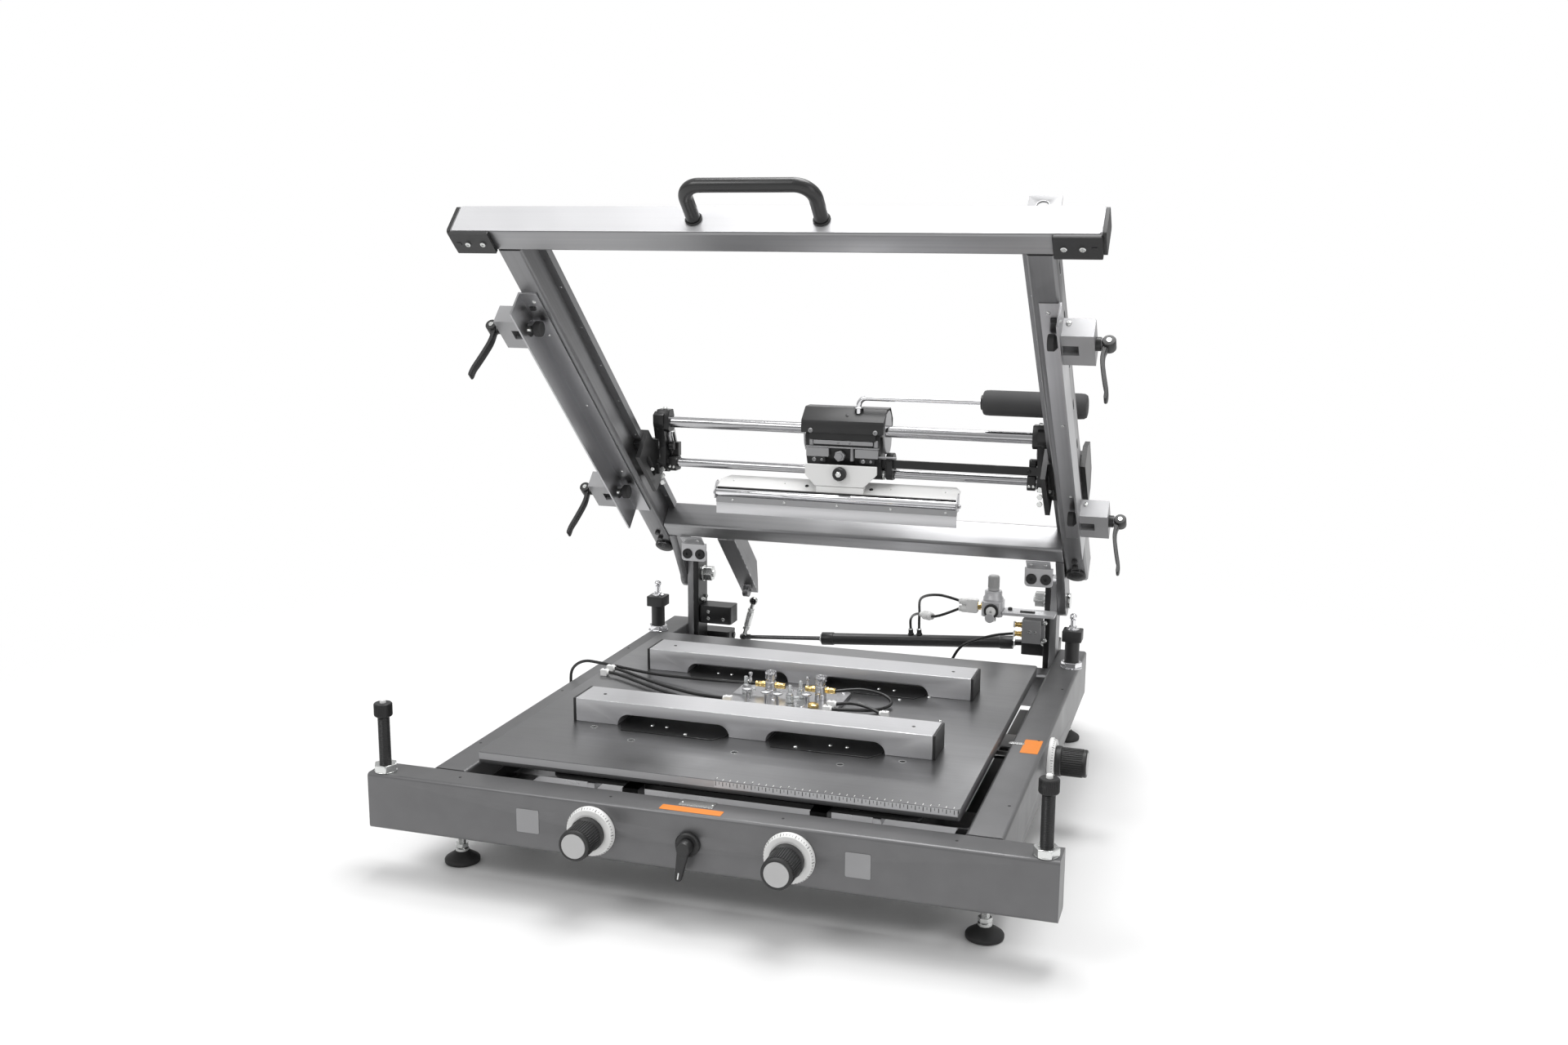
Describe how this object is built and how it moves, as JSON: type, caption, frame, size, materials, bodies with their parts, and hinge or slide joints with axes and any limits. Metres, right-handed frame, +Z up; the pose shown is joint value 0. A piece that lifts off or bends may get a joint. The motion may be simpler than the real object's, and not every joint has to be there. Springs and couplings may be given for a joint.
{
  "type": "tabletop screen printing press",
  "caption": "Bench-top lift-lid stencil printer: welded base, X-Y-turning table with support bars, hinged lid with frame clamps and a squeegee carriage.",
  "frame": {"origin": "on the floor under the centre of the footprint", "axes": "+Z up, -Y towards the operator (knobs), +X to the operator's right"},
  "size_m": [0.9546, 1.042, 0.9548],
  "materials": {
    "frame_paint": "fine texture, satin",
    "brushed": "brushed",
    "chrome": "polished",
    "alloy": "anodised",
    "black_anodised": "black anodised",
    "black_plastic": "moulded",
    "white_paint": "satin",
    "white_plastic": "matte",
    "rubber": "matte",
    "hose": "smooth",
    "brass": "turned"
  },
  "bodies": {
    "base": {"front_beam": "frame_paint", "side_rails": "frame_paint", "cross_members": "brushed", "columns": "alloy", "front_posts": "black_anodised", "rear_posts": "black_anodised", "hinge_pins": "chrome", "regulator": "alloy", "valve_block": "alloy", "strut_cylinder": "black_anodised", "strut_mounts": "black_anodised", "feet": "black_plastic", "dials": "white_plastic", "lock_rosette": "black_plastic", "air_hoses": "hose"},
    "lid": {"lid_beam": "white_paint", "lid_caps": "black_plastic", "lid_arm_left": "frame_paint", "lid_arm_right": "frame_paint", "lid_crossbar": "brushed", "hinge_lugs": "frame_paint", "lid_handle": "black_plastic", "clamp_rails": "brushed", "clamp_blocks": "alloy", "buffers": "brushed", "lift_arm": "brushed", "lid_catch": "white_paint"},
    "carriage": {"slider_left": "black_anodised", "slider_right": "black_anodised", "rods": "chrome", "guide_bar": "black_anodised"},
    "head": {"head_body": "alloy", "head_cover": "frame_paint", "head_handle": "chrome", "head_grip": "rubber"},
    "squeegee": {"squeegee_mount": "white_paint", "squeegee_holder": "white_paint", "squeegee_blade": "brushed"},
    "squeegee_knob": {"squeegee_knob": "black_plastic"},
    "y_stage": {"y_stage": "alloy"},
    "x_stage": {"x_stage": "alloy"},
    "table": {"table_plate": "alloy", "support_bars": "alloy", "bar_caps": "black_plastic", "manifold": "brass", "table_hoses": "hose"},
    "knob_y_left": {"knob_y_left": "black_plastic"},
    "knob_y_right": {"knob_y_right": "black_plastic"},
    "knob_x": {"knob_x": "black_plastic"},
    "lock_lever": {"lock_lever": "black_plastic"},
    "regulator_knob": {"regulator_knob": "black_plastic"},
    "strut_rod": {"strut_rod": "chrome"},
    "lever_fl": {"lever_fl": "black_plastic"},
    "pad_fl": {"pad_fl": "rubber"},
    "lever_fr": {"lever_fr": "black_plastic"},
    "pad_fr": {"pad_fr": "rubber"},
    "lever_rl": {"lever_rl": "black_plastic"},
    "pad_rl": {"pad_rl": "rubber"},
    "lever_rr": {"lever_rr": "black_plastic"},
    "pad_rr": {"pad_rr": "rubber"}
  },
  "joints": [
    {"name": "lid_hinge", "type": "hinge", "parent": "base", "child": "lid", "pos_m": [0, 0.46, 0.2427], "axis": [1, 0, 0], "range_deg": [0, 42.8]},
    {"name": "carriage_slide", "type": "slide", "parent": "lid", "child": "carriage", "axis": [0, -0.7278, 0.6858], "range_m": [-0.06, 0.4]},
    {"name": "head_slide", "type": "slide", "parent": "carriage", "child": "head", "axis": [1, 0, 0], "range_m": [-0.05, 0.05]},
    {"name": "squeegee_rock", "type": "hinge", "parent": "head", "child": "squeegee", "pos_m": [0, 0.24959, 0.48436], "axis": [0, -1, 0], "range_deg": [-2, 2]},
    {"name": "squeegee_clamp_knob", "type": "hinge", "parent": "head", "child": "squeegee_knob", "pos_m": [0, 0.24459, 0.48436], "axis": [0, -1, 0], "continuous": true},
    {"name": "clamp_lever_fl", "type": "hinge", "parent": "lid", "child": "lever_fl", "pos_m": [-0.4678, -0.08169, 0.73667], "axis": [0, 0.7278, -0.6858], "range_deg": [0, 90]},
    {"name": "clamp_lever_fr", "type": "hinge", "parent": "lid", "child": "lever_fr", "pos_m": [0.4678, -0.08169, 0.73667], "axis": [0, -0.7278, 0.6858], "range_deg": [0, 90]},
    {"name": "clamp_lever_rl", "type": "hinge", "parent": "lid", "child": "lever_rl", "pos_m": [-0.4678, 0.24144, 0.43217], "axis": [0, 0.7278, -0.6858], "range_deg": [0, 90]},
    {"name": "clamp_lever_rr", "type": "hinge", "parent": "lid", "child": "lever_rr", "pos_m": [0.4678, 0.24144, 0.43217], "axis": [0, -0.7278, 0.6858], "range_deg": [0, 90]},
    {"name": "clamp_pad_fl", "type": "slide", "parent": "lid", "child": "pad_fl", "axis": [-1, 0, 0], "range_m": [0, 0.00601]},
    {"name": "clamp_pad_fr", "type": "slide", "parent": "lid", "child": "pad_fr", "axis": [1, 0, 0], "range_m": [0, 0.00601]},
    {"name": "clamp_pad_rl", "type": "slide", "parent": "lid", "child": "pad_rl", "axis": [-1, 0, 0], "range_m": [0, 0.00601]},
    {"name": "clamp_pad_rr", "type": "slide", "parent": "lid", "child": "pad_rr", "axis": [1, 0, 0], "range_m": [0, 0.00601]},
    {"name": "y_stage_slide", "type": "slide", "parent": "base", "child": "y_stage", "axis": [0, 1, 0], "range_m": [-0.005, 0.005]},
    {"name": "x_stage_slide", "type": "slide", "parent": "y_stage", "child": "x_stage", "axis": [1, 0, 0], "range_m": [-0.005, 0.005]},
    {"name": "table_turn", "type": "hinge", "parent": "x_stage", "child": "table", "pos_m": [0, -0.06, 0.155], "axis": [0, 0, 1], "range_deg": [-2, 2]},
    {"name": "knob_y_left_turn", "type": "hinge", "parent": "base", "child": "knob_y_left", "pos_m": [-0.137, -0.494, 0.107], "axis": [0, -1, 0], "range_deg": [-360.5, 360.5]},
    {"name": "knob_y_right_turn", "type": "hinge", "parent": "base", "child": "knob_y_right", "pos_m": [0.137, -0.494, 0.107], "axis": [0, -1, 0], "range_deg": [-360.5, 360.5]},
    {"name": "knob_x_turn", "type": "hinge", "parent": "base", "child": "knob_x", "pos_m": [0.43, 0.001, 0.107], "axis": [1, 0, 0], "range_deg": [-360.5, 360.5]},
    {"name": "table_lock", "type": "hinge", "parent": "base", "child": "lock_lever", "pos_m": [0, -0.476, 0.107], "axis": [0, -1, 0], "range_deg": [0, 90]},
    {"name": "regulator_turn", "type": "hinge", "parent": "base", "child": "regulator_knob", "pos_m": [0.2395, 0.4145, 0.263], "axis": [0, 0, 1], "range_deg": [-135, 135]},
    {"name": "strut_travel", "type": "slide", "parent": "base", "child": "strut_rod", "axis": [0.9977, 0, 0.068], "range_m": [0, 0.0502]}
  ],
  "couplings": [
    {"joint": "clamp_pad_fl", "follows": "clamp_lever_fl", "m_per_rad": 0.0038197},
    {"joint": "clamp_pad_fr", "follows": "clamp_lever_fr", "m_per_rad": 0.0038197},
    {"joint": "clamp_pad_rl", "follows": "clamp_lever_rl", "m_per_rad": 0.0038197},
    {"joint": "clamp_pad_rr", "follows": "clamp_lever_rr", "m_per_rad": 0.0038197},
    {"joint": "knob_y_left_turn", "follows": "y_stage_slide", "rad_per_m": 1256.6},
    {"joint": "knob_y_right_turn", "follows": "y_stage_slide", "rad_per_m": 1256.6},
    {"joint": "knob_x_turn", "follows": "x_stage_slide", "rad_per_m": 1256.6},
    {"joint": "strut_travel", "follows": "lid_hinge", "m_per_rad": 0.066934}
  ]
}
